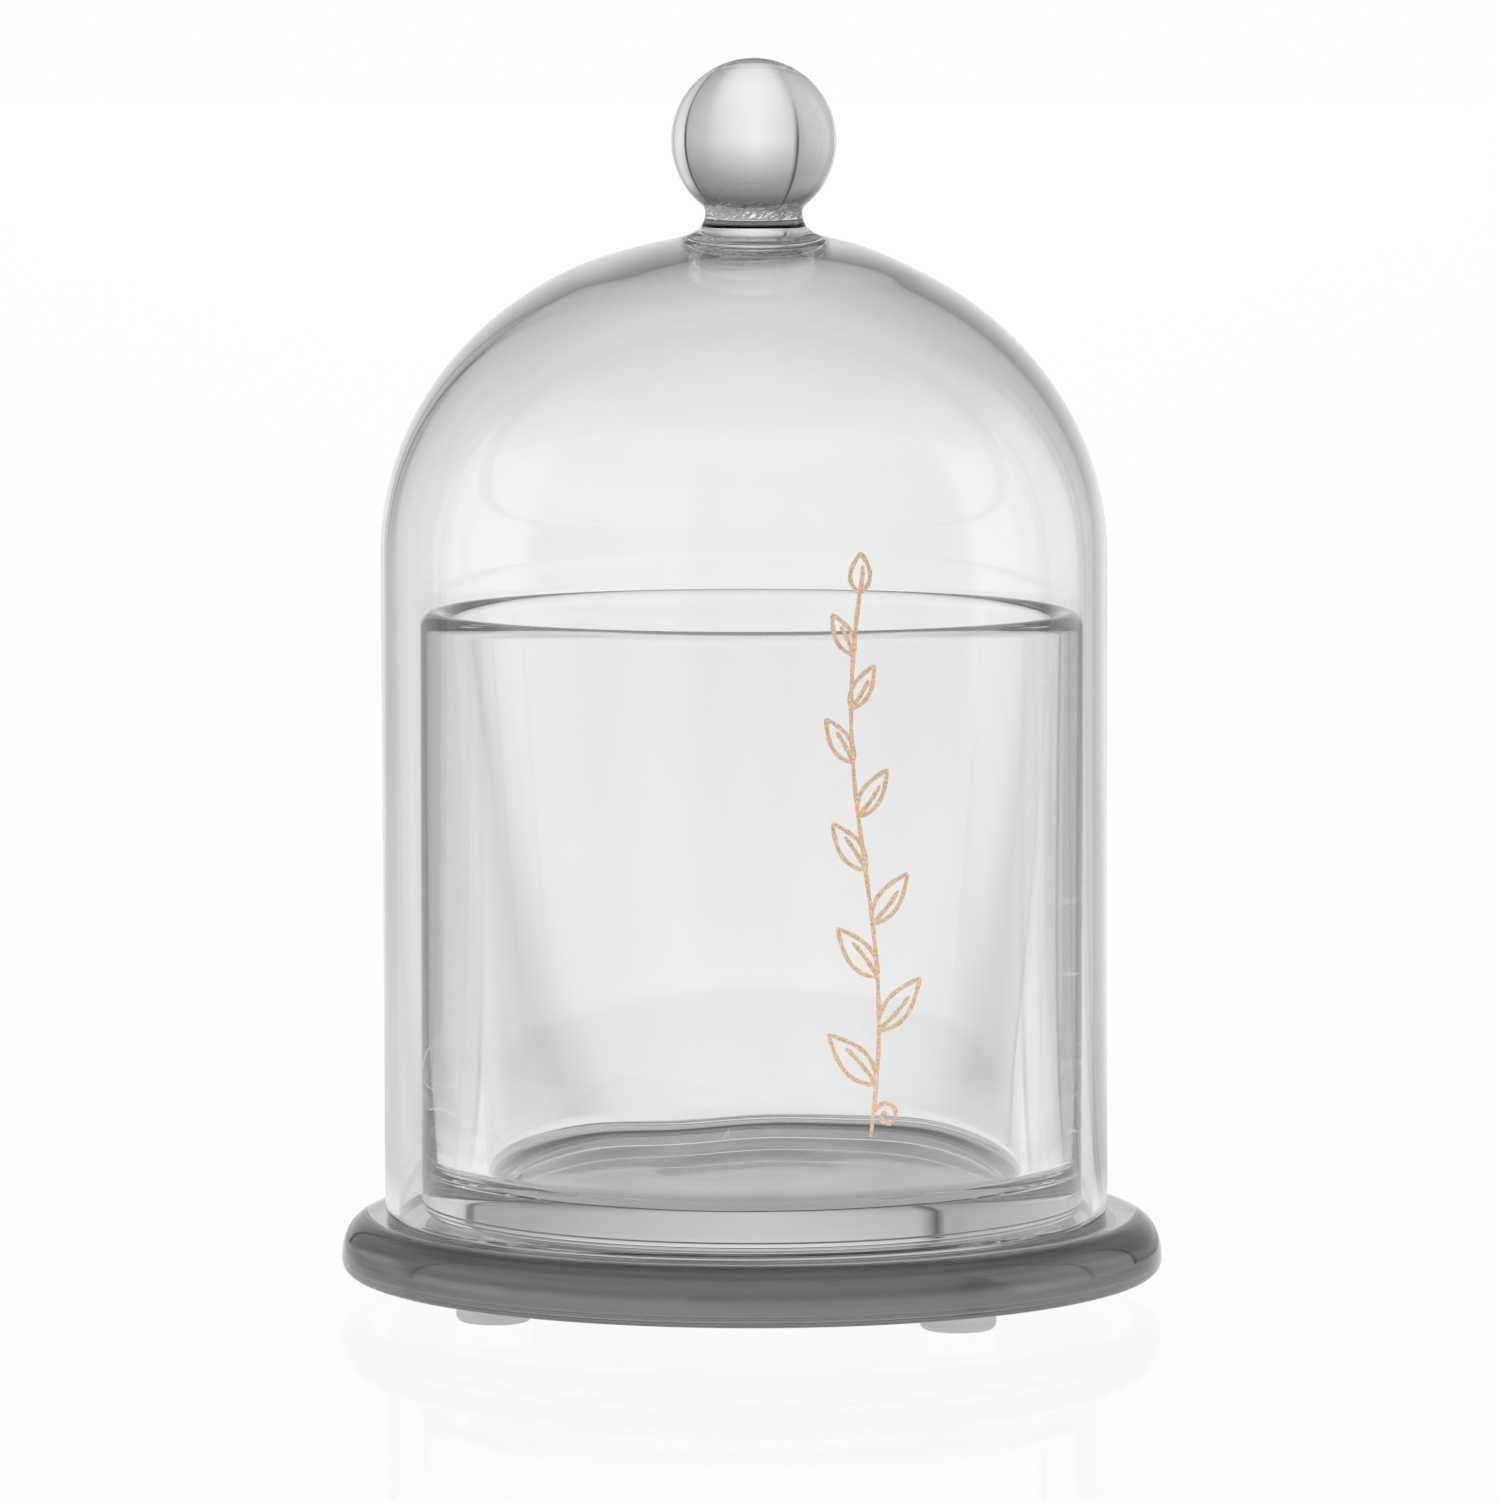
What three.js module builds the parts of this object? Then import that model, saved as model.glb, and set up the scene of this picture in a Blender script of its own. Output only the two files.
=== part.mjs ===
// A small table-top bell jar: a blown glass dome with a ball knob stands over a heavy glass cup,
// on a thick round glass plate with four bumper feet. Millimetres, +Z up. The origin is the centre
// of the plate's circle, on the surface that the feet stand on.
import * as THREE from 'three';

// ---- Driving dimensions -----------------------------------------------------------------------

// Cup: straight outside, inside drafted from a fully rounded rim down to the floor.
const cupRadius = 36.2;
const cupHeight = 66.2;
const cupRimThickness = 3.2;
const cupWallAtFloor = 6.8;
const cupFloorThickness = 4.1;
const cupFloorCorner = 2.5;
const cupCornerRound = 2.0;

// Dome: an upright cylinder with a half-elliptical crown.
const domePlay = 1.9;             // radial clearance all round the cup
const domeWall = 1.5;
const domeHeadroom = 6.3;         // from the cup's rim up to where the crown begins
const domeCrownHeight = 35.0;     // of the crown's outer ellipse
const domeCrownWall = 2.2;        // the wall thickens to this at the top
const domeShift = -0.8;           // the dome stands this far to one side, within its play
const crownBossRadius = 6.6;      // thick spot inside the crown, under the knob
const crownBossDrop = 1.1;

// Knob: a waisted collar fused to a flat on the crown, and a ball fused to the collar.
const crownFlatRadius = 8.0;
const collarHeight = 4.0;
const collarWaistRadius = 5.3;
const collarWaistHeight = 2.75;
const collarTopRadius = 6.3;
const ballRadius = 9.0;
const knobShift = 1.0;            // the knob was fused on this far from the dome's own axis

// Plate: its rim bulges, widest low down.
const plateThickness = 6.3;
const plateLedge = 4.6;           // how far the plate stands out beyond the dome
const plateUpperRound = 3.5;      // width of the big round on the upper edge
const plateLowerRound = 1.5;      // width of the small round on the lower edge
const plateLowerRoundHeight = 1.6;

// Feet: silicone bumpers, one under each quarter of the plate.
const footCount = 4;
const footRadius = 4.1;
const footHeight = 2.5;
const footRound = 0.8;
const footInset = 9.7;            // from the plate's edge to a foot's centre
const firstFootAngle = -51.5;     // degrees from +X

// Air left under each piece that only stands on another one.
const seatGap = 0.05;

// ---- Sizes that follow from them --------------------------------------------------------------

const plateTop = footHeight + plateThickness;
const domeRadius = cupRadius + domePlay + domeWall;
const domeStraightHeight = cupHeight + domeHeadroom;
const plateRadius = domeRadius + Math.abs(domeShift) + plateLedge;
const crownFlatHeight = domeStraightHeight
  + domeCrownHeight * Math.sqrt(1 - (crownFlatRadius / domeRadius) ** 2);
const knobSeat = plateTop + seatGap + crownFlatHeight;

// ---- Shapes -----------------------------------------------------------------------------------

const RIGHT = 0;
const UP = Math.PI / 2;
const LEFT = Math.PI;
const DOWN = 1.5 * Math.PI;

const SAME_POINT = 1e-6;

// Turns an outline, drawn as (radius, height) upwards along the outside, about the Z axis. It
// starts and ends on the axis, at (0, 0) unless it moves first, and a point that two of its
// curves share is used once.
function turned(name, outline, arcSteps, sides, material) {
  const drawn = outline.getPoints(arcSteps);
  const profile = drawn.filter((p, i) => i === 0 || p.distanceTo(drawn[i - 1]) > SAME_POINT);
  profile[0].x = 0;
  profile.at(-1).x = 0;
  const geometry = new THREE.LatheGeometry(profile, sides);
  geometry.rotateX(Math.PI / 2);
  const mesh = new THREE.Mesh(geometry, material);
  mesh.name = name;
  return mesh;
}

function clearGlass(tint) {
  return new THREE.MeshStandardMaterial({ color: tint, roughness: 0.04, metalness: 0 });
}

// Underside and small lower round, then the big upper round and the flat top.
function makeBasePlate() {
  const widest = plateLowerRoundHeight;
  const outline = new THREE.Path();
  outline.lineTo(plateRadius - plateLowerRound, 0);
  outline.absellipse(plateRadius - plateLowerRound, widest, plateLowerRound, widest, DOWN, 2 * Math.PI);
  outline.absellipse(plateRadius - plateUpperRound, widest, plateUpperRound,
    plateThickness - widest, RIGHT, UP);
  outline.lineTo(0, plateThickness);
  const plate = turned('base_plate', outline, 4, 56, clearGlass(0xdde3e1));
  plate.position.z = footHeight;
  return plate;
}

// A round pad whose lower edge is rounded.
function makeFoot(number) {
  const outline = new THREE.Path();
  outline.lineTo(footRadius - footRound, 0);
  outline.absarc(footRadius - footRound, footRound, footRound, DOWN, 2 * Math.PI);
  outline.lineTo(footRadius, footHeight);
  outline.lineTo(0, footHeight);
  const silicone = new THREE.MeshStandardMaterial({ color: 0xc9ccca, roughness: 0.45, metalness: 0 });
  const foot = turned(`bumper_foot_${number}`, outline, 2, 24, silicone);
  const angle = THREE.MathUtils.degToRad(firstFootAngle + (number - 1) * 360 / footCount);
  const circle = plateRadius - footInset;
  foot.position.set(circle * Math.cos(angle), circle * Math.sin(angle), 0);
  return foot;
}

// Up the straight outside, over the rim, down the drafted inside and round the corner to the floor.
function makeMatchCup() {
  const rimRound = cupRimThickness / 2;
  const innerAtFloor = cupRadius - cupWallAtFloor;
  const cornerTop = cupFloorThickness + cupFloorCorner;
  const outline = new THREE.Path();
  outline.lineTo(cupRadius - cupCornerRound, 0);
  outline.absarc(cupRadius - cupCornerRound, cupCornerRound, cupCornerRound, DOWN, 2 * Math.PI);
  outline.absarc(cupRadius - rimRound, cupHeight - rimRound, rimRound, RIGHT, LEFT);
  outline.lineTo(innerAtFloor, cornerTop);
  outline.absarc(innerAtFloor - cupFloorCorner, cornerTop, cupFloorCorner, RIGHT, DOWN, true);
  outline.lineTo(0, cupFloorThickness);
  const cup = turned('match_cup', outline, 4, 48, clearGlass(0xe6eae9));
  cup.position.z = plateTop + seatGap;
  return cup;
}

// From the middle of the thick spot inside the crown, down the inside, round the fire-polished
// edge, up the outside and over the crown to its flat.
function makeDomeShell() {
  const innerRadius = domeRadius - domeWall;
  const innerCrown = domeCrownHeight - domeCrownWall;
  const bossEdge = domeStraightHeight + innerCrown * Math.sqrt(1 - (crownBossRadius / innerRadius) ** 2);
  const bossAngle = Math.acos(crownBossRadius / innerRadius);
  const flatAngle = Math.acos(crownFlatRadius / domeRadius);
  const edgeRound = domeWall / 2;
  const outline = new THREE.Path();
  outline.moveTo(0, bossEdge - crownBossDrop);
  outline.quadraticCurveTo(crownBossRadius * 0.75, bossEdge - crownBossDrop, crownBossRadius, bossEdge);
  outline.absellipse(0, domeStraightHeight, innerRadius, innerCrown, bossAngle, RIGHT, true);
  outline.absarc(innerRadius + edgeRound, edgeRound, edgeRound, LEFT, 2 * Math.PI);
  outline.absellipse(0, domeStraightHeight, domeRadius, domeCrownHeight, RIGHT, flatAngle);
  outline.lineTo(0, crownFlatHeight);
  return turned('dome_shell', outline, 6, 48, clearGlass(0xeef1f0));
}

// Spreads down to the crown's flat and up to the ball, with a waist between.
function makeKnobCollar() {
  const outline = new THREE.Path();
  outline.lineTo(crownFlatRadius, 0);
  outline.absellipse(crownFlatRadius, collarWaistHeight, crownFlatRadius - collarWaistRadius,
    collarWaistHeight, DOWN, LEFT, true);
  outline.absellipse(collarTopRadius, collarWaistHeight, collarTopRadius - collarWaistRadius,
    collarHeight - collarWaistHeight, LEFT, UP, true);
  outline.lineTo(0, collarHeight);
  return turned('knob_collar', outline, 4, 32, clearGlass(0xc4cac9));
}

// A sphere cut flat where it meets the collar's top.
function makeKnobBall() {
  const centreHeight = Math.sqrt(ballRadius ** 2 - collarTopRadius ** 2);
  const cutAngle = -Math.acos(collarTopRadius / ballRadius);
  const outline = new THREE.Path();
  outline.lineTo(collarTopRadius, 0);
  outline.absarc(0, centreHeight, ballRadius, cutAngle, UP);
  const ball = turned('knob_ball', outline, 8, 32, clearGlass(0xeef1f0));
  ball.position.z = collarHeight;
  return ball;
}

// ---- Assembly ---------------------------------------------------------------------------------

const bellJar = new THREE.Group();
bellJar.add(makeBasePlate());
for (let number = 1; number <= footCount; number += 1) {
  bellJar.add(makeFoot(number));
}
bellJar.add(makeMatchCup());

const dome = new THREE.Group();
dome.position.set(domeShift, 0, plateTop + seatGap);
dome.add(makeDomeShell());

const knob = new THREE.Group();
knob.position.set(knobShift, 0, knobSeat - dome.position.z);
knob.add(makeKnobCollar());
knob.add(makeKnobBall());
dome.add(knob);
bellJar.add(dome);

export default bellJar;
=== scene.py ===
import math
import random

import bmesh
import bpy
from mathutils import Matrix, Vector


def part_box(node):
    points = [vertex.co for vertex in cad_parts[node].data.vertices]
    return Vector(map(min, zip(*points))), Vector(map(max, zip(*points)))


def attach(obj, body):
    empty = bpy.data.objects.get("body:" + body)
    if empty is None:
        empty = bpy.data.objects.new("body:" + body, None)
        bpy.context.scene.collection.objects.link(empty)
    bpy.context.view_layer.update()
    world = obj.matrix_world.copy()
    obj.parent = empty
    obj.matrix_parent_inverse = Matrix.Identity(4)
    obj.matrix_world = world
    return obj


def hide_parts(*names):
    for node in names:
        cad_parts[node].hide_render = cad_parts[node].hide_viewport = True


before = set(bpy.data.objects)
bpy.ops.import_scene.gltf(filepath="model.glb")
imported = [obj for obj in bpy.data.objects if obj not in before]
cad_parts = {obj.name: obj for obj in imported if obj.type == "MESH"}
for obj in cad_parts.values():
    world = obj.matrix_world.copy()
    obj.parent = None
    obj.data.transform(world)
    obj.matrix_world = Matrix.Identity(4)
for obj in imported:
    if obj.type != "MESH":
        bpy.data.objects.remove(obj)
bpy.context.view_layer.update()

# ---- Base plate ---------------------------------------------------------------------------------
# A thick round of clear pressed glass that the cup and the dome stand on. Its upper edge is one big
# fire-polished round. Its lower edge is a small one with the mould's seam round it, and the middle
# of its underside is ground to a fine satin.

MM = 0.001
PLATE_SIDES = 256
plate_low, plate_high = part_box("base_plate")
plate_radius = plate_high.x
plate_widest = plate_low.z + 1.6 * MM
plate_upper_round = 3.5 * MM
plate_lower_round = 1.5 * MM
shoulder_fullness = 2.15          # 2 is a plain ellipse, and more is squarer
seam_height = plate_low.z + 1.1 * MM
seam_half = 0.24 * MM
seam_depth = 0.09 * MM
ground_radius = 40 * MM
ground_depth = 0.2 * MM           # how far above the underside the satin can reach


def arc(centre, radii, start, end, steps):
    """Points (radius, height) along part of an ellipse, between two angles in degrees."""
    points = []
    for step in range(steps + 1):
        angle = math.radians(start + (end - start) * step / steps)
        points.append((centre[0] + radii[0] * math.cos(angle),
                       centre[1] + radii[1] * math.sin(angle)))
    return points


def straight(start, end, steps):
    """Points (radius, height) along a line, closest near its ends, without its first one."""
    shares = [0.5 - 0.5 * math.cos(math.pi * step / steps) for step in range(1, steps + 1)]
    return [(start[0] + (end[0] - start[0]) * share, start[1] + (end[1] - start[1]) * share)
            for share in shares]


ON_AXIS = 0.0001 * MM


def turned(name, outline, sides, centre=lambda radius, height: (0.0, 0.0), swell=None):
    """A closed body turned about an upright axis. The outline starts and ends on the axis and climbs
    along the outside; centre moves a ring off the axis, and swell adds to its radius."""
    form = bmesh.new()
    rings = []
    for radius, height in outline:
        cx, cy = centre(radius, height)
        if radius < ON_AXIS:
            rings.append([form.verts.new((cx, cy, height))])
            continue
        ring = []
        for side in range(sides):
            angle = 2 * math.pi * side / sides
            reach = radius + (swell(radius, height, angle) if swell else 0.0)
            place = (cx + reach * math.cos(angle), cy + reach * math.sin(angle), height)
            ring.append(form.verts.new(place))
        rings.append(ring)
    for lower, upper in zip(rings, rings[1:]):
        for side in range(sides):
            after = (side + 1) % sides
            if len(lower) == 1:
                form.faces.new((lower[0], upper[after], upper[side]))
            elif len(upper) == 1:
                form.faces.new((lower[side], lower[after], upper[0]))
            else:
                form.faces.new((lower[side], lower[after], upper[after], upper[side]))
    return finished(name, form)


def finished(name, form, smooth=True):
    """Makes the form a mesh, shades it smooth unless told otherwise, and adds it to the scene."""
    mesh = bpy.data.meshes.new(name)
    form.to_mesh(mesh)
    form.free()
    if smooth:
        mesh.shade_smooth()
    piece = bpy.data.objects.new(name, mesh)
    bpy.context.scene.collection.objects.link(piece)
    return piece


class Value:
    """An output socket of a shader node; the operators on it add Math nodes."""

    def __init__(self, tree, socket):
        self.tree = tree
        self.socket = socket

    def also(self, output):
        return Value(self.tree, self.socket.node.outputs[output])

    def __add__(self, other):
        return self.tree.maths("ADD", self, other)

    def __radd__(self, other):
        return self.tree.maths("ADD", other, self)

    def __sub__(self, other):
        return self.tree.maths("SUBTRACT", self, other)

    def __rsub__(self, other):
        return self.tree.maths("SUBTRACT", other, self)

    def __mul__(self, other):
        return self.tree.maths("MULTIPLY", self, other)

    def __rmul__(self, other):
        return self.tree.maths("MULTIPLY", other, self)

    def __truediv__(self, other):
        return self.tree.maths("DIVIDE", self, other)

    def __rtruediv__(self, other):
        return self.tree.maths("DIVIDE", other, self)


class Tree:
    """The node tree of a material or a world."""

    def __init__(self, owner):
        owner.use_nodes = True
        self.tree = owner.node_tree
        self.tree.nodes.clear()

    def node(self, kind, settings=None, inputs=None, output=0):
        made = self.tree.nodes.new(kind)
        for name, setting in (settings or {}).items():
            if name == "stops":
                self.set_stops(made.color_ramp, setting)
            else:
                setattr(made, name, setting)
        for name, value in (inputs or {}).items():
            if isinstance(value, Value):
                self.tree.links.new(value.socket, made.inputs[name])
            else:
                made.inputs[name].default_value = value
        return Value(self, made.outputs[output]) if made.outputs else made

    def maths(self, operation, first, second=0.0):
        return self.node("ShaderNodeMath", {"operation": operation}, {0: first, 1: second})

    def set_stops(self, ramp, stops):
        while len(ramp.elements) < len(stops):
            ramp.elements.new(1.0)
        for element, (place, colour) in zip(ramp.elements, stops):
            element.position = place
            element.color = colour if hasattr(colour, "__len__") else (colour, colour, colour, 1.0)


SMEAR_ROUGHNESS = 0.02
SATIN_ROUGHNESS = 0.14


def glass(name, ior, ripple_size, ripple_height, left=None, depth=None, ground=None):
    """Clear glass with a faint ripple, and smears that are only a little less polished. What is left
    of white light after some depth of it gives the colour of its body. Below a height and within a
    radius it can be ground to a fine satin."""
    material = bpy.data.materials.new(name)
    tree = Tree(material)
    place = tree.node("ShaderNodeTexCoord", output="Object")
    stretched = tree.node("ShaderNodeMapping", {}, {"Vector": place, "Scale": (1.0, 1.0, 0.45)})
    ripple = tree.node("ShaderNodeTexNoise", {}, {
        "Vector": stretched, "Scale": 1.0 / ripple_size, "Detail": 1.5})
    smears = tree.node("ShaderNodeTexNoise", {}, {"Vector": stretched, "Scale": 90.0, "Detail": 4.0})
    bump = tree.node("ShaderNodeBump", {}, {"Height": ripple, "Distance": ripple_height, "Strength": 1.0})
    smeared = tree.node("ShaderNodeMapRange", {}, {"Value": smears, "From Min": 0.5, "From Max": 0.8})
    rough = SMEAR_ROUGHNESS * smeared
    if ground:
        across = tree.node("ShaderNodeSeparateXYZ", {}, {0: place})
        away = across.also(1)
        low = tree.maths("LESS_THAN", across.also(2), ground[0])
        within = tree.maths("LESS_THAN", across * across + away * away, ground[1] ** 2)
        rough = rough + SATIN_ROUGHNESS * low * within
    shader = tree.node("ShaderNodeBsdfPrincipled", {}, {
        "Base Color": (1.0, 1.0, 1.0, 1.0), "Roughness": rough, "IOR": ior, "Transmission Weight": 1.0,
        "Normal": bump})
    surface = {"Surface": shader}
    if left:
        losses = [-math.log(share) for share in left]
        kept = [1 - loss / max(losses) for loss in losses]
        surface["Volume"] = tree.node("ShaderNodeVolumeAbsorption", {}, {
            "Color": (*kept, 1.0), "Density": max(losses) / depth})
    tree.node("ShaderNodeOutputMaterial", {}, surface)
    return material


plate_outline = [(0.0, plate_low.z)]
plate_outline += straight(plate_outline[0], (plate_radius - plate_lower_round, plate_low.z), 12)[:-1]
for radius, height in arc((plate_radius - plate_lower_round, plate_widest),
                          (plate_lower_round, plate_widest - plate_low.z), -90, 0, 44):
    closeness = max(0.0, 1.0 - abs(height - seam_height) / seam_half)
    plate_outline.append((radius - seam_depth * (0.5 - 0.5 * math.cos(math.pi * closeness)), height))
for across, up in arc((0.0, 0.0), (1.0, 1.0), 0, 90, 36)[1:]:
    out = across ** (2 / shoulder_fullness)
    rise = up ** (2 / shoulder_fullness)
    plate_outline.append((plate_radius - plate_upper_round + plate_upper_round * out,
                          plate_widest + (plate_high.z - plate_widest) * rise))
plate_outline += straight(plate_outline[-1], (0.0, plate_high.z), 12)
plate = turned("glass_plate", plate_outline, PLATE_SIDES)
plate_glass = glass("pressed plate glass", 1.52, 30 * MM, 0.004 * MM,
                    left=(0.58, 0.585, 0.59), depth=40 * MM,
                    ground=(plate_low.z + ground_depth, ground_radius))
plate.data.materials.append(plate_glass)
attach(plate, "base")
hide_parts("base_plate")

# ---- Bumper feet --------------------------------------------------------------------------------
# Four clear silicone pads, stuck to the underside of the plate so that glass never meets the table.

foot_round = 0.8 * MM
foot_top_round = 0.2 * MM
glue_gap = 0.01 * MM


def silicone():
    """Clear silicone with a satin skin, a little milky, and a faint painted glow that stands in for the
    light that scatters in it.
    """
    material = bpy.data.materials.new("clear silicone")
    tree = Tree(material)
    place = tree.node("ShaderNodeTexCoord", output="Object")
    grain = tree.node("ShaderNodeTexNoise", {}, {"Vector": place, "Scale": 900.0, "Detail": 3.0})
    bump = tree.node("ShaderNodeBump", {}, {"Height": grain, "Distance": 0.02 * MM, "Strength": 0.6})
    shader = tree.node("ShaderNodeBsdfPrincipled", {}, {
        "Base Color": (0.93, 0.93, 0.93, 1.0), "Roughness": 0.3 + 0.15 * grain, "IOR": 1.41,
        # The emission is a painted glow: the feet give off a little white light of their own.
        "Transmission Weight": 0.55, "Normal": bump, "Emission Color": (1.0, 1.0, 1.0, 1.0),
        "Emission Strength": 0.09})
    tree.node("ShaderNodeOutputMaterial", {}, {"Surface": shader})
    return material


foot_material = silicone()
for number in range(1, 5):
    low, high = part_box(f"bumper_foot_{number}")
    middle = (low + high) / 2
    radius = (high.x - low.x) / 2
    top = high.z - glue_gap
    outline = [(0.0, low.z)]
    outline += arc((radius - foot_round, low.z + foot_round), (foot_round, foot_round), -90, 0, 8)
    outline += arc((radius - foot_top_round, top - foot_top_round),
                   (foot_top_round, foot_top_round), 0, 90, 4)
    outline.append((0.0, top))
    foot = turned(f"silicone_foot_{number}", outline, 48, centre=lambda r, h, m=middle: (m.x, m.y))
    foot.data.materials.append(foot_material)
    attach(foot, "base")
    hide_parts(f"bumper_foot_{number}")

# ---- Cup ----------------------------------------------------------------------------------------
# A heavy clear glass with a straight outside. Its inside tapers from a fire-polished rim to a thick
# floor, whose corner wanders a little, as glass does where the plunger met it.

CUP_SIDES = 224
cup_low, cup_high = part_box("match_cup")
cup_radius = cup_high.x
rim_round = 1.6 * MM
floor_inside = cup_radius - 6.8 * MM
floor_height = cup_low.z + 4.1 * MM
floor_corner = 2.5 * MM
cup_corner = 2.0 * MM
dish_depth = 0.35 * MM            # the floor sags towards its middle
dish_ring = 0.015 * MM            # faint rings that the plunger left in it
dish_rings = 2.5
wander_height = 16 * MM


def floor_wander(radius, height, angle):
    """The inside corner of the cup is a little out of round low down."""
    inside = radius < cup_radius - 4 * MM and height > cup_low.z + 1 * MM
    if not inside:
        return 0.0
    depth = max(0.0, 1.0 - (height - floor_height) / wander_height)
    waves = ((0.30, 3, 0.6), (0.22, 5, 2.0), (0.10, 11, 1.1))
    wave = sum(size * math.cos(lobes * angle + phase) for size, lobes, phase in waves)
    return radius / cup_radius * depth * depth * wave * MM


cup_outline = [(0.0, cup_low.z)]
cup_outline += straight(cup_outline[0], (cup_radius - cup_corner, cup_low.z), 10)[:-1]
cup_outline += arc((cup_radius - cup_corner, cup_low.z + cup_corner), (cup_corner, cup_corner), -90, 0, 14)
cup_outline += straight(cup_outline[-1], (cup_radius, cup_high.z - rim_round), 24)
cup_outline += arc((cup_radius - rim_round, cup_high.z - rim_round), (rim_round, rim_round), 0, 180, 24)[1:]
cup_outline += straight(cup_outline[-1], (floor_inside, floor_height + floor_corner), 32)
cup_outline += arc((floor_inside - floor_corner, floor_height + floor_corner),
                   (floor_corner, floor_corner), 0, -90, 16)[1:]
for radius, height in straight(cup_outline[-1], (0.0, floor_height), 60):
    share = radius / (floor_inside - floor_corner)
    ring = dish_ring * math.sin(2 * math.pi * dish_rings * share) * math.sin(math.pi * share)
    cup_outline.append((radius, height - dish_depth * (1 - share * share) + ring))
cup = turned("holder_cup", cup_outline, CUP_SIDES, swell=floor_wander)
cup_glass = glass("heavy cup glass", 1.51, 22 * MM, 0.012 * MM,
                  left=(0.975, 0.976, 0.977), depth=20 * MM)
cup.data.materials.append(cup_glass)
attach(cup, "cup")
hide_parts("match_cup")

# ---- Dome and knob ------------------------------------------------------------------------------
# A thin blown dome with a solid ball fused to its crown through a short waisted collar. It is one
# piece of glass, so it is one mesh here: up the inside, round the open edge and over to the ball.

DOME_SIDES = 256
dome_low, dome_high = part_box("dome_shell")
ball_low, ball_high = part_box("knob_ball")
collar_low, collar_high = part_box("knob_collar")
dome_radius = (dome_high.x - dome_low.x) / 2
dome_axis = (dome_high.x + dome_low.x) / 2
knob_axis = (ball_high.x + ball_low.x) / 2
ball_radius = (ball_high.x - ball_low.x) / 2
ball_centre = ball_high.z - ball_radius
dome_wall = 1.5 * MM
crown_wall = 2.2 * MM
crown_base = dome_low.z + 72.5 * MM
crown_flat = (collar_high.x - collar_low.x) / 2
crown_height = (dome_high.z - crown_base) / math.sqrt(1 - (crown_flat / dome_radius) ** 2)
waist_radius = 5.3 * MM
waist_height = collar_low.z + 2.75 * MM
lean = 0.2 * MM
near_knob = 8 * MM                # within this the crown sits on the knob's axis
clear_of_knob = 20 * MM           # and beyond this on the dome's own


def dome_centre(radius, height):
    """The rings round the knob and under it sit on the knob's axis, the rest on the dome's own."""
    tilt = lean * (0.5 - (height - dome_low.z) / (dome_high.z - dome_low.z)) * 2
    own = dome_axis + tilt
    if height > collar_low.z + 0.5 * MM:
        share = 1.0
    else:
        reach = (clear_of_knob - radius) / (clear_of_knob - near_knob)
        share = min(1.0, max(0.0, reach)) if height > crown_base else 0.0
        share = share * share * (3 - 2 * share)
    return own + (knob_axis - own) * share, 0.0


inner_radius = dome_radius - dome_wall
inner_height = crown_height - crown_wall
boss_edge = 7.3 * MM              # the thick spot inside the crown, under the knob
boss_drop = 1.1 * MM
boss_steps = 32
edge_round = dome_wall / 2


def crown_point(radius, height, reach):
    """Height of a crown with that radius and height, at some reach from its axis."""
    return crown_base + height * math.sqrt(1 - (reach / radius) ** 2)


dome_outline = []
for step in range(boss_steps + 1):
    reach = boss_edge * step / boss_steps
    fall = (0.5 + 0.5 * math.cos(math.pi * step / boss_steps)) ** 0.6
    dome_outline.append((reach, crown_point(inner_radius, inner_height, reach) - boss_drop * fall))
boss_angle = math.degrees(math.acos(boss_edge / inner_radius))
dome_outline += arc((0.0, crown_base), (inner_radius, inner_height), boss_angle, 0, 56)[1:]
dome_outline += straight(dome_outline[-1], (inner_radius, dome_low.z + edge_round), 24)
dome_outline += arc((inner_radius + edge_round, dome_low.z + edge_round),
                    (edge_round, edge_round), 180, 360, 20)[1:]
dome_outline += straight(dome_outline[-1], (dome_radius, crown_base), 24)
spread = 8.8 * MM                 # where the crown begins to sweep up into the collar
spread_angle = math.degrees(math.acos(spread / dome_radius))
dome_outline += arc((0.0, crown_base), (dome_radius, crown_height), 0, spread_angle, 56)[1:]


def bend(start, start_lead, end_lead, end, steps):
    """A cubic curve between two points (radius, height), without its first one."""
    points = []
    for step in range(1, steps + 1):
        t = step / steps
        mix = [(1 - t) ** 3, 3 * t * (1 - t) ** 2, 3 * t * t * (1 - t), t ** 3]
        corners = (start, start_lead, end_lead, end)
        points.append(tuple(sum(m * p[axis] for m, p in zip(mix, corners)) for axis in (0, 1)))
    return points


crown_top = dome_outline[-1]
slope = (crown_height / dome_radius) ** 2 * crown_top[0] / (crown_top[1] - crown_base)
waist = (waist_radius, waist_height)
crown_lead = 2.1 * MM
waist_lead = 2.0 * MM
dome_outline += bend(crown_top, (crown_top[0] - crown_lead, crown_top[1] + crown_lead * slope),
                     (waist_radius, waist_height - waist_lead), waist, 28)
join_radius = 6.3 * MM
join_angle = -math.degrees(math.acos(join_radius / ball_radius))
join = (join_radius, ball_centre + ball_radius * math.sin(math.radians(join_angle)))
ball_lead = 0.7 * MM
join_lead = (join[0] + ball_lead * math.sin(math.radians(join_angle)),
             join[1] - ball_lead * math.cos(math.radians(join_angle)))
dome_outline += bend(waist, (waist_radius, waist_height + 0.6 * MM), join_lead, join, 10)
dome_outline += arc((0.0, ball_centre), (ball_radius, ball_radius), join_angle, 90, 48)[1:]
dome_outline[-1] = (0.0, ball_high.z)
dome = turned("blown_dome", dome_outline, DOME_SIDES, centre=dome_centre)
dome_glass = glass("blown dome glass", 1.50, 35 * MM, 0.012 * MM,
                   left=(0.966, 0.969, 0.971), depth=20 * MM)
dome.data.materials.append(dome_glass)
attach(dome, "dome")
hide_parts("dome_shell", "knob_collar", "knob_ball")

# ---- Seeds in the neck --------------------------------------------------------------------------
# Where the hot ball was pressed onto the collar it trapped a thin sheet of tiny, stretched air
# bubbles. Each one is a hollow in the glass, so its faces look inwards.

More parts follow.
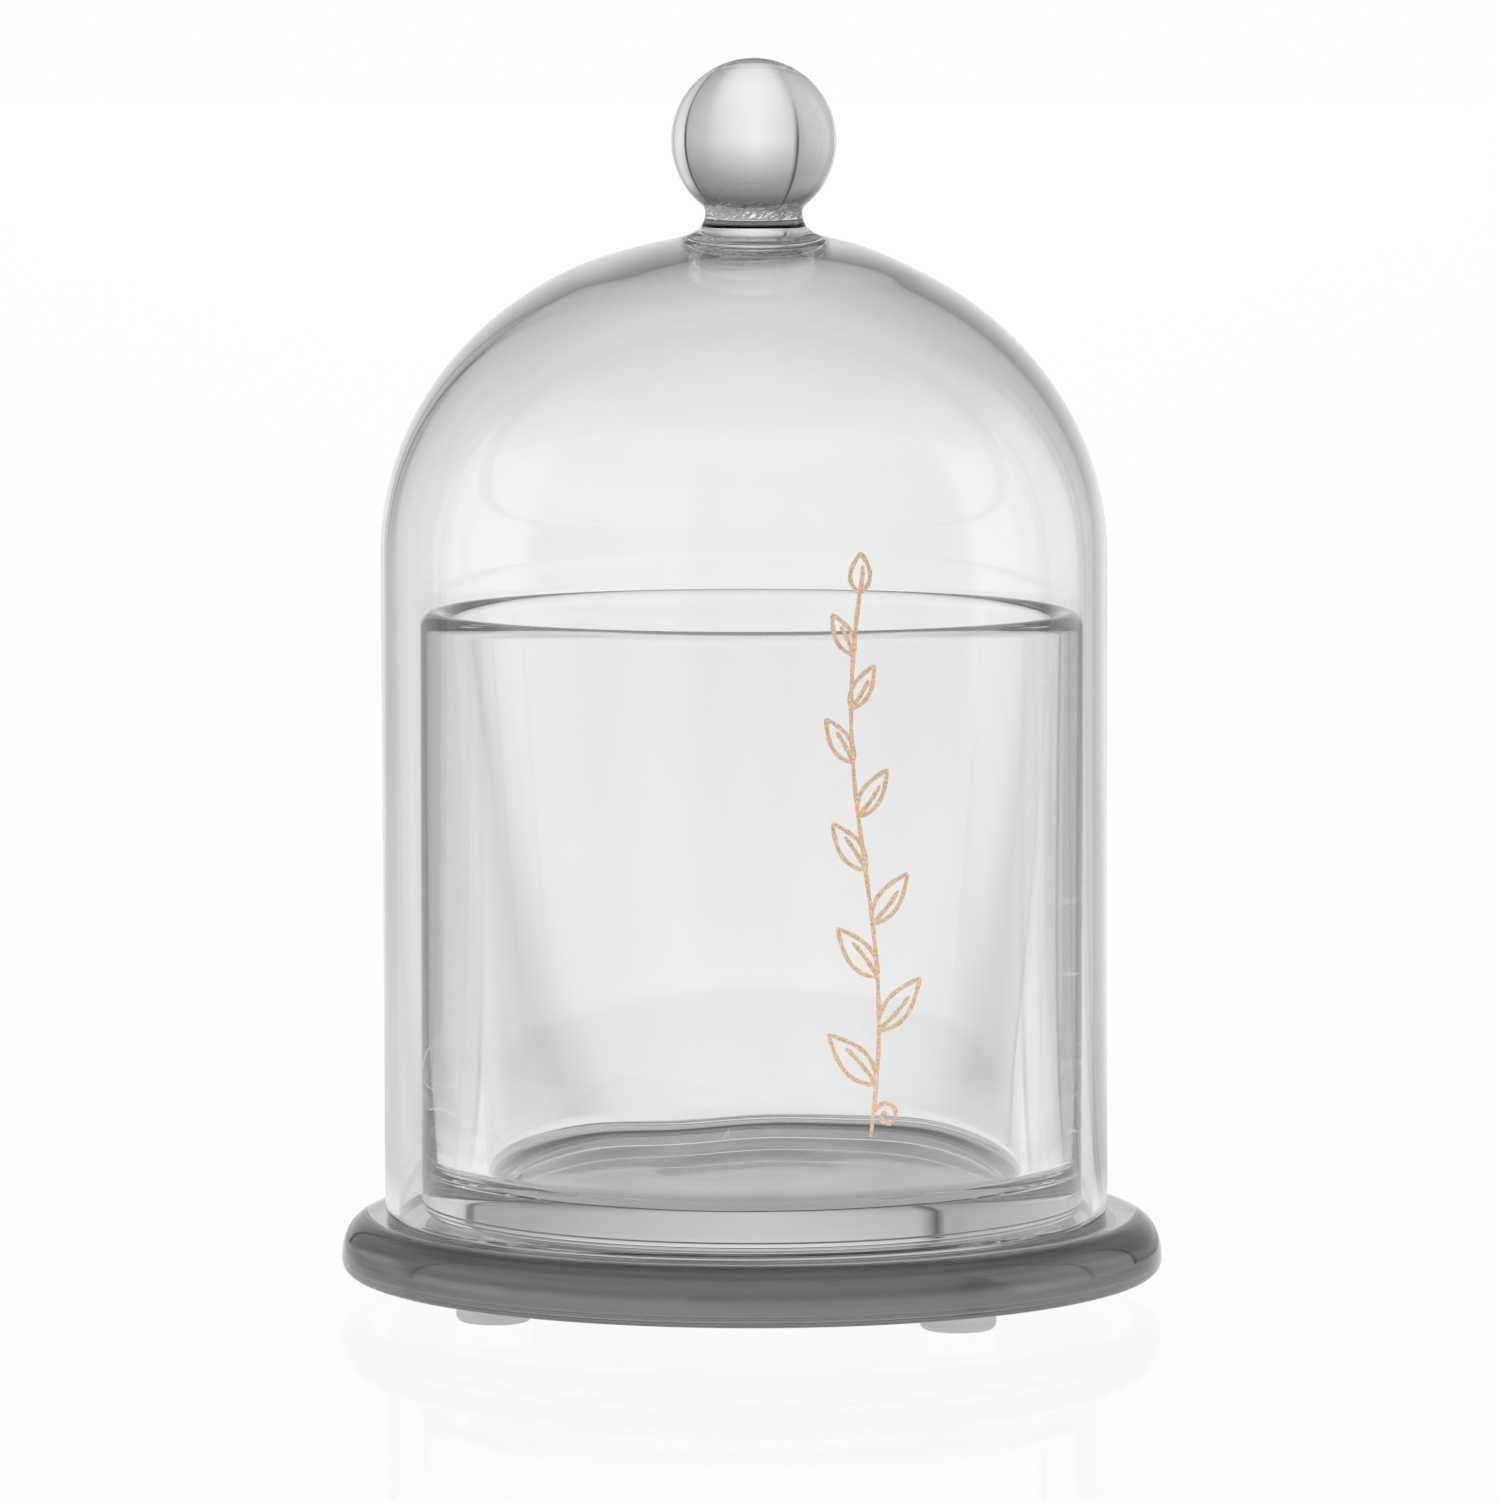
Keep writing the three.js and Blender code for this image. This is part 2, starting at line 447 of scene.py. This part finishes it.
SEED_COUNT = 480
seed_middle = waist_height + 0.4 * MM
seed_spread = 2.2 * MM
seed_reach = 4.95 * MM


def seeds():
    """Small stretched hollows in a flat layer, most of them near its edge and swept round it."""
    form = bmesh.new()
    chance = random.Random(41)
    for _ in range(SEED_COUNT):
        angle = chance.uniform(0, 2 * math.pi)
        reach = seed_reach * chance.random() ** 0.15
        place = Vector((knob_axis + reach * math.cos(angle), reach * math.sin(angle),
                        seed_middle + seed_spread * chance.uniform(-0.5, 0.5)))
        thick = chance.uniform(0.06, 0.10) * MM
        long = thick * chance.uniform(4.0, 9.0)
        turn = Matrix.Rotation(angle + chance.uniform(1.3, 1.8), 4, "Z")
        tip = Matrix.Rotation(chance.uniform(-1.0, -0.3), 4, "Y")
        shape = Matrix.Diagonal((long, thick * 1.5, thick, 1.0))
        bmesh.ops.create_icosphere(form, subdivisions=2, radius=1.0,
                                   matrix=Matrix.Translation(place) @ turn @ tip @ shape)
    bmesh.ops.reverse_faces(form, faces=form.faces)
    return finished("neck_seeds", form)


neck_seeds = seeds()
neck_seeds.data.materials.append(glass("seedy neck glass", 1.50, 2 * MM, 0.005 * MM))
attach(neck_seeds, "dome")

# ---- Foil sprig ---------------------------------------------------------------------------------
# A leafy sprig in thin strokes of rose-gold glitter foil, pressed onto the outside of the dome a
# little to the right of its front.

foil_thickness = 0.05 * MM
foil_lift = 0.01 * MM
stroke_width = 0.46 * MM
sprig_bottom = 21.9 * MM
sprig_height = 61.7 * MM
sprig_middle = math.radians(18.6)


def stem_point(share):
    """The stem (across, up) at a share of its height: a lazy S."""
    return 1.5 * MM * math.sin(2 * math.pi * (0.95 * share + 0.06)), sprig_height * share


def leaf(share, side, length, width, lift_angle):
    """A leaf's outline as two bowed strokes and its vein, from the stem outwards."""
    root = Vector(stem_point(share))
    ahead = Vector((side * math.sin(lift_angle), math.cos(lift_angle)))
    beside = Vector((ahead.y, -ahead.x))
    edge_steps = [step / 22 for step in range(23)]
    vein_steps = [0.04 * step for step in range(18)]
    strokes = []
    for bow in (-1, 1):
        strokes.append([root + ahead * length * t + beside * bow * width * math.sin(math.pi * t ** 0.8) / 2
                        for t in edge_steps])
    strokes.append([root + ahead * length * t + beside * 0.12 * width * math.sin(math.pi * t)
                    for t in vein_steps])
    return strokes


def curl(share, side, size, turns):
    """A tendril that winds up on itself."""
    eye = Vector(stem_point(share)) + Vector((side * size, 0.0))
    points = []
    steps = 40
    for step in range(steps + 1):
        t = step / steps
        angle = side * 2 * math.pi * turns * t
        reach = size * (1 - t) ** 0.7
        points.append(eye + Vector((-side * math.cos(angle), math.sin(side * angle))) * reach)
    return points


def sprig_strokes():
    """Every stroke of the sprig as a list of points (across, up)."""
    strokes = [[Vector(stem_point(0.965 * step / 90)) for step in range(91)]]
    for number in range(9):
        share = 0.09 + 0.092 * number
        side = 1 if number % 2 else -1
        size = 1.0 - 0.045 * number
        strokes += leaf(share, side, 7.6 * MM * size, 2.9 * MM * size, math.radians(44 - 2 * number))
    strokes += leaf(0.93, 1, 4.3 * MM, 2.2 * MM, math.radians(2))
    strokes.append(curl(0.035, 1, 1.5 * MM, 1.3))
    return strokes


def on_dome(across, up, off):
    """The place on the dome's outside, off its surface by a little."""
    height = sprig_bottom + up
    cx, cy = dome_centre(dome_radius, height)
    angle = sprig_middle + across / dome_radius
    reach = dome_radius + off
    return cx + reach * math.sin(angle), cy - reach * math.cos(angle), height


FULL_TURN = 6.28


def foil_ribbons(name, strokes):
    """Thin closed ribbons along the strokes, a little uneven in width, with tapered ends."""
    form = bmesh.new()
    chance = random.Random(7)
    for stroke in strokes:
        phase = chance.uniform(0, FULL_TURN)
        sections = []
        for number, point in enumerate(stroke):
            before = stroke[max(0, number - 1)]
            after = stroke[min(len(stroke) - 1, number + 1)]
            along = (after - before).normalized()
            beside = Vector((along.y, -along.x))
            from_end = min(number, len(stroke) - 1 - number)
            taper = (0.45, 0.8, 1.0)[min(from_end, 2)]
            half = stroke_width / 2 * taper * (1 + 0.12 * math.sin(0.9 * number + phase))
            corners = []
            for side, off in ((-1, 0.0), (-1, 1.0), (1, 1.0), (1, 0.0)):
                edge = point + beside * half * side
                corners.append(form.verts.new(on_dome(edge.x, edge.y, foil_lift + off * foil_thickness)))
            sections.append(corners)
        form.faces.new(sections[0])
        for first, second in zip(sections, sections[1:]):
            for corner in range(4):
                after = (corner + 1) % 4
                form.faces.new((first[corner], second[corner], second[after], first[after]))
        form.faces.new(list(reversed(sections[-1])))
    bmesh.ops.recalc_face_normals(form, faces=form.faces)
    return finished(name, form, smooth=False)


def rose_foil():
    """Pale rose-gold foil with a fine glitter: each flake has its own tilt, tone and polish, and a painted
    glow in its tone.
    """
    material = bpy.data.materials.new("rose gold glitter foil")
    tree = Tree(material)
    place = tree.node("ShaderNodeTexCoord", output="Object")
    flakes = tree.node("ShaderNodeTexVoronoi", {}, {"Vector": place, "Scale": 7000.0}, output="Color")
    parts = tree.node("ShaderNodeSeparateColor", {}, {"Color": flakes})
    tone = tree.node("ShaderNodeValToRGB", {"stops": [
        (0.0, (0.69, 0.42, 0.25, 1.0)), (0.35, (0.91, 0.61, 0.40, 1.0)),
        (0.75, (0.98, 0.74, 0.52, 1.0)), (1.0, (1.0, 0.90, 0.77, 1.0))]}, {"Fac": parts})
    bump = tree.node("ShaderNodeBump", {}, {
        "Height": parts.also(1), "Distance": 0.03 * MM, "Strength": 0.7})
    # The emission is a painted glow in each flake's tone, so the foil gives off light of its own.
    shader = tree.node("ShaderNodeBsdfPrincipled", {}, {
        "Base Color": tone, "Metallic": 0.35, "Roughness": 0.32 + 0.35 * parts.also(2), "Normal": bump,
        "Emission Color": tone, "Emission Strength": 0.35})
    tree.node("ShaderNodeOutputMaterial", {}, {"Surface": shader})
    return material


sprig = foil_ribbons("foil_sprig", sprig_strokes())
sprig.data.materials.append(rose_foil())
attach(sprig, "dome")

# ---- Floor, light and camera --------------------------------------------------------------------
# White acrylic runs under the object and up behind it. What the glass picks up is softer: a backdrop
# that fades upwards into a dark ceiling, grey flats and tall light panels at the sides, dark gaps
# between them, and a room that is nearly dark behind the camera.


def by_direction(tree, across, away, stops):
    """Grey by compass direction in degrees: 0 is straight behind the object, positive to the right."""
    turn = tree.maths("ARCTAN2", across, away) / (2 * math.pi) + 0.5
    places = [((angle + 180) / 360, tone) for angle, tone in stops]
    return tree.node("ShaderNodeValToRGB", {"stops": places}, {"Fac": turn})


def by_height(tree, rise, stops):
    """A share by height above the horizon, in degrees; rise is 0.5 at the horizon and 1 overhead."""
    places = [(0.5 + angle / 180, share) for angle, share in stops]
    return tree.node("ShaderNodeValToRGB", {"stops": places}, {"Fac": rise})


def blend(tree, factor, first, second):
    """A colour between two others."""
    return tree.node("ShaderNodeMix", {"data_type": "RGBA"},
                     {"Factor": factor, 6: first, 7: second}, output=2)


def grey(tone):
    return (tone, tone, tone, 1.0)


# Tone by direction: the walls at eye level, the table's far edge, and the tops of the walls.
EYE_LEVEL = [
    (-180, 0.22), (-165, 0.22), (-160, 0.50), (-110, 0.50), (-102, 0.95), (-72, 0.95), (-70, 0.12),
    (-68, 0.62), (-45, 0.60), (-23.8, 0.47), (-23.2, 0.04), (-21.6, 0.04), (-20.8, 0.68), (-12, 0.80),
    (-6, 0.87), (0, 0.93), (5, 0.87), (13, 0.77), (20, 0.68), (28, 0.54), (39, 0.46), (42.6, 0.42),
    (43.4, 0.06), (45, 0.08), (46, 0.75), (52, 0.92), (67.5, 0.85), (70, 0.12), (72, 0.95), (100, 0.95),
    (106, 0.08), (180, 0.22)]
TABLE_EDGE = [
    (-180, 0.58), (-120, 0.66), (-72, 0.92), (-70, 0.40), (-68, 0.68), (-45, 0.66), (-28, 0.66),
    (-23.2, 0.60), (-21.6, 0.60), (-14, 0.90), (-4, 1.00), (4, 1.00), (12, 0.96), (18, 0.86), (26, 0.60),
    (33, 0.54), (42.6, 0.48), (43.4, 0.25), (45, 0.25), (46, 0.65), (57, 0.85), (68, 0.80), (70, 0.40),
    (72, 0.92), (120, 0.66), (180, 0.58)]
WALL_TOPS = [
    (-180, 0.10), (-165, 0.10), (-160, 0.48), (-110, 0.48), (-102, 0.80), (-72, 0.80), (-70, 0.10),
    (-68, 0.50), (-45, 0.36), (-23.8, 0.29), (-23.2, 0.03), (-21.6, 0.03), (-20.8, 0.28), (0, 0.27),
    (28, 0.24), (42.6, 0.20), (43.4, 0.04), (45, 0.05), (46, 0.42), (56, 0.80), (67.5, 0.75), (70, 0.10),
    (72, 0.85), (100, 0.85), (106, 0.05), (180, 0.10)]
FLOOR_SIZE = 30.0


def floor_material():
    """White to the eye. What it sends into the glass is darker under the object, a painted shadow, and
    falls off at the sides.
    """
    material = bpy.data.materials.new("white floor")
    tree = Tree(material)
    position = tree.node("ShaderNodeNewGeometry", output="Position")
    across = tree.node("ShaderNodeSeparateXYZ", {}, {0: position})
    away = across.also(1)
    distance = tree.maths("SQRT", across * across + away * away)
    # A painted shadow: within 37 mm of the axis the floor sends the glass a dark grey, which fades to white
    # by 56 mm.
    beside = tree.node("ShaderNodeMapRange", {}, {
        "Value": distance, "From Min": 37 * MM, "From Max": 56 * MM})
    further = tree.node("ShaderNodeMapRange", {}, {
        "Value": distance, "From Min": 70 * MM, "From Max": 120 * MM})
    horizon = tree.node("ShaderNodeMapRange", {}, {
        "Value": 1.0 / distance, "From Min": 3.6, "From Max": 0.0})
    painted_shadow = blend(tree, beside, grey(0.43), grey(0.97))
    around = blend(tree, further, painted_shadow, by_direction(tree, across, away, TABLE_EDGE))
    lit = blend(tree, horizon, around, by_direction(tree, across, away, EYE_LEVEL))
    seen = tree.node("ShaderNodeLightPath", output="Is Camera Ray")
    tone = blend(tree, seen, lit, grey(1.0))
    glow = tree.node("ShaderNodeEmission", {}, {"Color": tone, "Strength": 1.02})
    shine = tree.node("ShaderNodeBsdfGlossy", {}, {"Color": grey(1.0), "Roughness": 0.03})
    both = tree.node("ShaderNodeMixShader", {}, {0: 0.10, 1: glow, 2: shine})
    tree.node("ShaderNodeOutputMaterial", {}, {"Surface": both})
    return material


bpy.ops.mesh.primitive_plane_add(size=FLOOR_SIZE)
floor = bpy.context.object
floor.name = "floor"
floor.data.materials.append(floor_material())

world = bpy.data.worlds.new("studio")
bpy.context.scene.world = world
studio = Tree(world)
direction = studio.node("ShaderNodeTexCoord", output="Generated")
across = studio.node("ShaderNodeSeparateXYZ", {}, {0: direction})
away = across.also(1)
rise = studio.maths("ARCSINE", across.also(2)) / math.pi + 0.5
low_walls = by_direction(studio, across, away, EYE_LEVEL)
high_walls = by_direction(studio, across, away, WALL_TOPS)
climb = by_height(studio, rise, [(0, 0.0), (7, 0.33), (13, 0.58), (20, 0.85), (27, 1.0)])
dusk = by_height(studio, rise, [(27, 0.0), (38, 0.75), (50, 1.0)])
lit = blend(studio, dusk, blend(studio, climb, low_walls, high_walls), grey(0.035))
room = studio.node("ShaderNodeBackground", {}, {"Color": lit, "Strength": 1.0})
white = studio.node("ShaderNodeBackground", {}, {"Color": grey(1.0), "Strength": 1.0})
seen = studio.node("ShaderNodeLightPath", output="Is Camera Ray")
backdrop = studio.node("ShaderNodeMixShader", {}, {0: seen, 1: room, 2: white})
studio.node("ShaderNodeOutputWorld", {}, {"Surface": backdrop})

camera_aside = -0.2 * MM
camera_distance = 926.17 * MM
camera_height = 138.17 * MM
camera_pitch = 4.851              # degrees, looking down
sensor_width = 36.0
lens_in_sensor_widths = 5.667867
camera_data = bpy.data.cameras.new("camera")
camera_data.sensor_fit = "HORIZONTAL"
camera_data.sensor_width = sensor_width
camera_data.lens = sensor_width * lens_in_sensor_widths
camera_data.clip_end = 100.0
camera = bpy.data.objects.new("camera", camera_data)
camera.location = (camera_aside, -camera_distance, camera_height)
camera.rotation_euler = (math.radians(90 - camera_pitch), 0.0, 0.0)
bpy.context.scene.collection.objects.link(camera)
bpy.context.scene.camera = camera

bpy.context.scene.view_settings.view_transform = "Standard"
bpy.context.scene.cycles.max_bounces = 32
bpy.context.scene.cycles.transmission_bounces = 32
bpy.context.scene.cycles.glossy_bounces = 12
